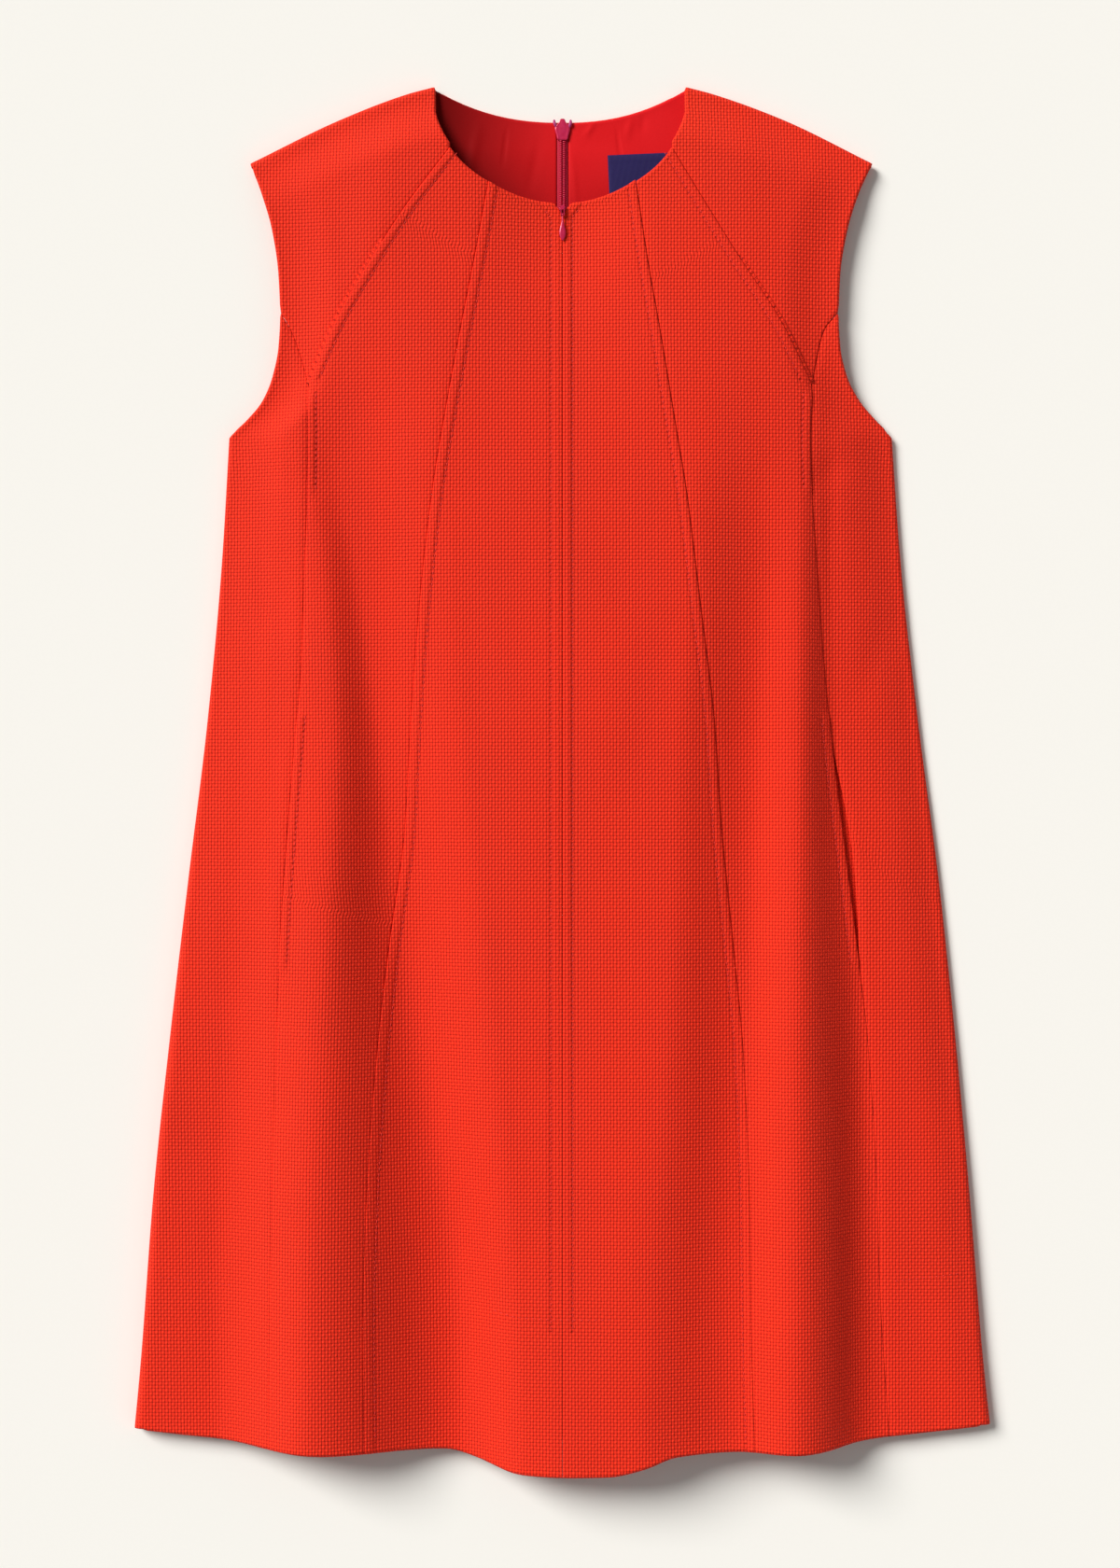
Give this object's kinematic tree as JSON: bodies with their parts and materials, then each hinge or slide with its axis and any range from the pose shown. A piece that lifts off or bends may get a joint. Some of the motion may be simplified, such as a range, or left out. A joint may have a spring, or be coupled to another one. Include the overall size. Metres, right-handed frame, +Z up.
{
  "type": "swing dress",
  "caption": "Sleeveless red basket-weave swing mini dress, laid flat front up, with long flared panels, shoulder yokes, round neck, in-seam pockets and concealed zips front and back.",
  "frame": {"origin": "under the middle of the garment's outline, on the surface that it lies on", "axes": "+X to the viewer's right as the dress lies front up, +Y up the garment towards the neck, +Z up from the surface"},
  "size_m": [0.5406, 0.871, 0.0401],
  "materials": {
    "cloth": "matt basket weave of thick wool yarn",
    "lining": "smooth plain-weave lining with a slight sheen",
    "zip_tape": "fine woven tape",
    "zip_coil": "moulded coil, satin",
    "zip_metal": "crimson enamel, glossy",
    "label": "plain navy woven satin, bare"
  },
  "bodies": {
    "dress": {"back_left": "cloth", "back_lining_left": "lining", "back_lining_right": "lining", "back_right": "cloth", "back_zip_coil": "zip_coil", "back_zip_slider": "zip_metal", "back_zip_tape": "zip_tape", "front_centre_left": "cloth", "front_centre_right": "cloth", "front_mid_left": "cloth", "front_mid_right": "cloth", "front_zip_slider": "zip_metal", "front_zip_tape": "zip_tape", "label": "label", "pocket_left": "cloth", "pocket_right": "cloth", "side_left": "cloth", "side_right": "cloth", "yoke_left": "cloth", "yoke_right": "cloth"},
    "pull": {"front_zip_pull": "zip_metal"}
  },
  "joints": [
    {"name": "pull_hinge", "type": "hinge", "parent": "dress", "child": "pull", "pos_m": [0, 0.3523, 0.0142], "axis": [-1, 0, 0], "range_deg": [0, 150]}
  ]
}
